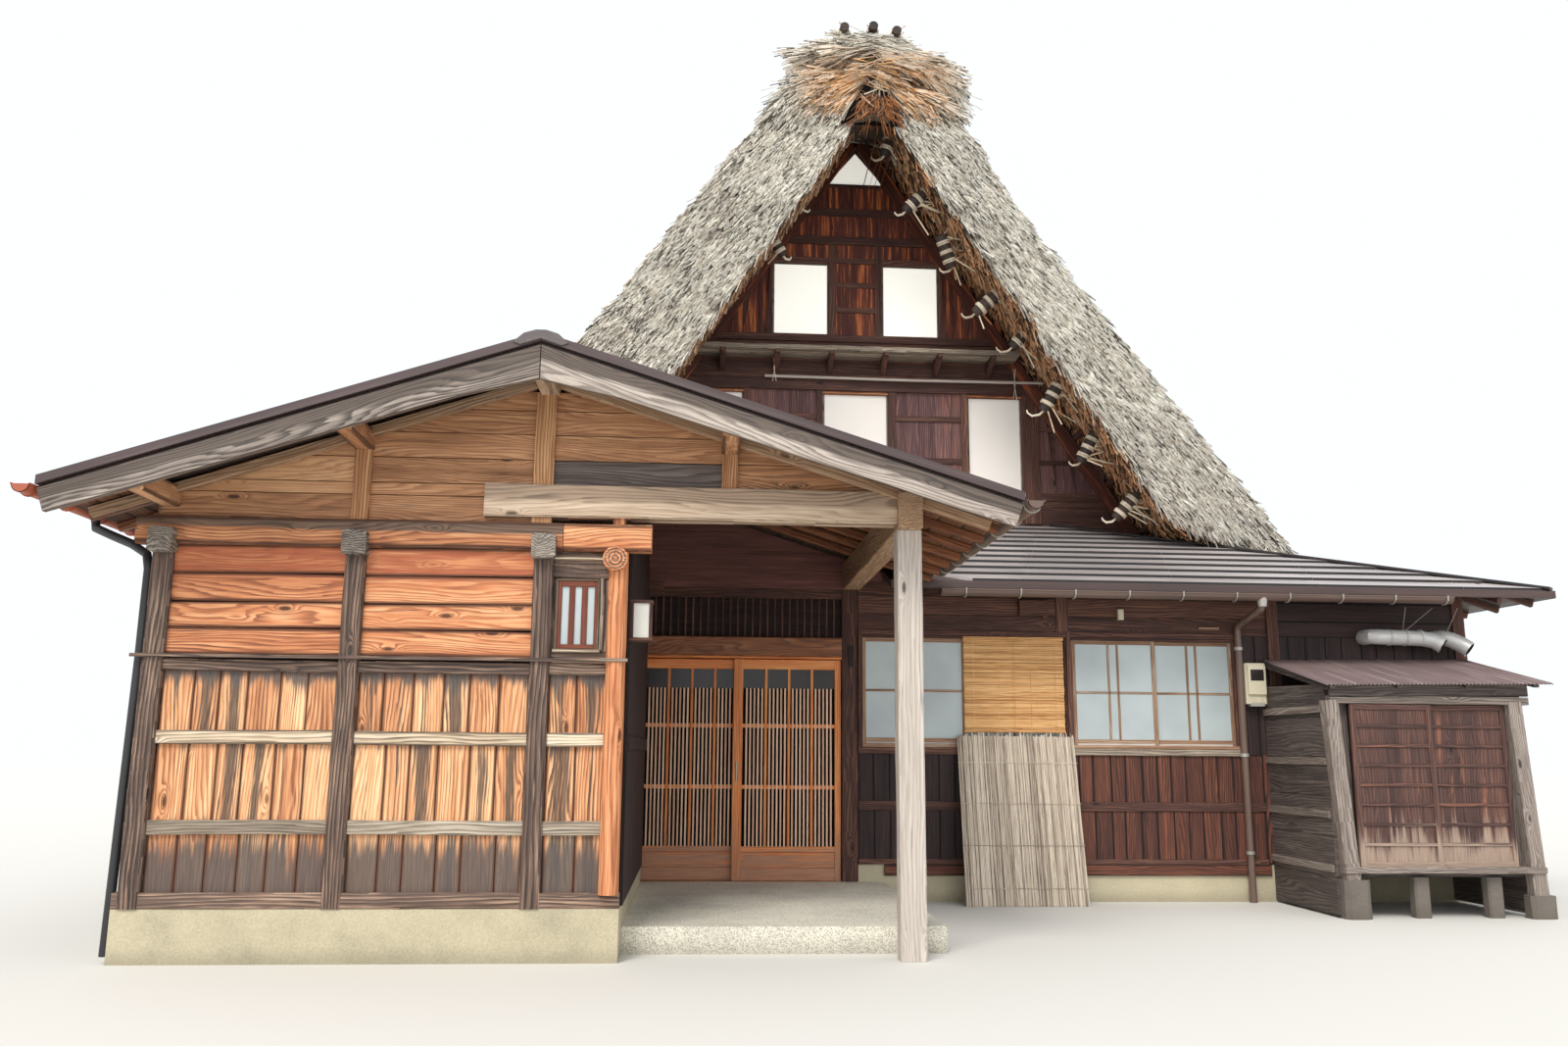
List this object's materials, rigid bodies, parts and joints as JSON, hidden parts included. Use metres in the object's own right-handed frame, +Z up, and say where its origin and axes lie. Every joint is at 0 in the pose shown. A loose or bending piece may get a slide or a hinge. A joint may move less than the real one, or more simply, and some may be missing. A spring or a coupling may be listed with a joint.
{
  "type": "thatched farmhouse",
  "caption": "Steep thatched farmhouse with a metal lean-to roof, a gabled board-clad front wing, a covered porch with sliding lattice doors, and a small lean-to shed.",
  "frame": {"origin": "on the ground, under the middle of the whole building's outer box", "axes": "+X to the right along the entrance front, +Y from the front into the house, +Z up"},
  "size_m": [10.9854, 16.855, 8.838],
  "materials": {
    "concrete": "cast concrete, light grey-cream, weathered",
    "orange_wood": "knotty sawn boards, orange-brown with dark weathering",
    "grey_wood": "weathered grey timber",
    "tan_wood": "natural tan planed timber",
    "dark_wood": "dark maroon-brown stained timber",
    "door_wood": "varnished orange-brown lattice door timber",
    "window_wood": "worn brown window frames with frosted panes",
    "thatch": "dry reed thatch, pale grey-beige with dark streaks",
    "roof_metal": "dark brown sheet roofing with a slight sheen",
    "copper_metal": "terracotta painted gutter",
    "pipe_metal": "dull silver pipe",
    "white_pane": "bright white paper and frosted panes",
    "bamboo": "golden split bamboo",
    "reed": "grey-brown reed screen",
    "beige_metal": "beige enamel"
  },
  "bodies": {
    "house": {"main_foundation": "concrete", "wing_foundation": "concrete", "porch_floor": "concrete", "wing_front_frame": "grey_wood", "wing_front_boards": "orange_wood", "slatted_window": "dark_wood", "wing_left_wall": "dark_wood", "wing_right_wall": "dark_wood", "wing_gable_wall": "tan_wood", "wing_ridge_purlin": "tan_wood", "wing_roof_left": "roof_metal", "wing_roof_right": "roof_metal", "wing_ridge_cap": "roof_metal", "bargeboard_left": "grey_wood", "bargeboard_right": "grey_wood", "wing_gutter_left": "copper_metal", "wing_gutter_right": "roof_metal", "main_gutter": "roof_metal", "porch_post": "grey_wood", "porch_beam": "tan_wood", "porch_side_beam": "tan_wood", "front_wall_left": "dark_wood", "entrance_frame": "dark_wood", "front_wall_right": "dark_wood", "window_left": "window_wood", "window_right": "window_wood", "bamboo_blind": "bamboo", "reed_screen": "reed", "left_wall": "dark_wood", "right_wall": "dark_wood", "back_wall": "dark_wood", "left_panes": "white_pane", "right_panes": "white_pane", "back_panes": "white_pane", "lean_to_roof_front": "roof_metal", "lean_to_roof_left": "roof_metal", "lean_to_roof_right": "roof_metal", "lean_to_roof_back": "roof_metal", "core_frame": "dark_wood", "loft_floor": "tan_wood", "attic_floor": "tan_wood", "gable_wall_front": "dark_wood", "gable_wall_back": "dark_wood", "gable_panes_front": "white_pane", "gable_panes_back": "white_pane", "gable_shelf": "grey_wood", "roof_frame_left": "dark_wood", "roof_frame_right": "dark_wood", "thatch_left": "thatch", "thatch_right": "thatch", "thatch_ridge": "thatch", "shed_frame": "grey_wood", "shed_roof": "roof_metal", "meter_box": "beige_metal", "flue_pipes": "pipe_metal", "wall_lamp": "white_pane"},
    "entrance_door_left_leaf": {"entrance_door_left": "door_wood"},
    "entrance_door_right_leaf": {"entrance_door_right": "door_wood"},
    "shed_door_left_leaf": {"shed_door_left": "dark_wood"},
    "shed_door_right_leaf": {"shed_door_right": "dark_wood"}
  },
  "joints": [
    {"name": "entrance_door_right_slide", "type": "slide", "parent": "house", "child": "entrance_door_right_leaf", "axis": [1, 0, 0], "range_m": [-0.78, 0]},
    {"name": "entrance_door_left_slide", "type": "slide", "parent": "house", "child": "entrance_door_left_leaf", "axis": [1, 0, 0], "range_m": [0, 0.78]},
    {"name": "shed_door_left_slide", "type": "slide", "parent": "house", "child": "shed_door_left_leaf", "axis": [1, 0, 0], "range_m": [0, 0.61]},
    {"name": "shed_door_right_slide", "type": "slide", "parent": "house", "child": "shed_door_right_leaf", "axis": [1, 0, 0], "range_m": [-0.61, 0]}
  ]
}
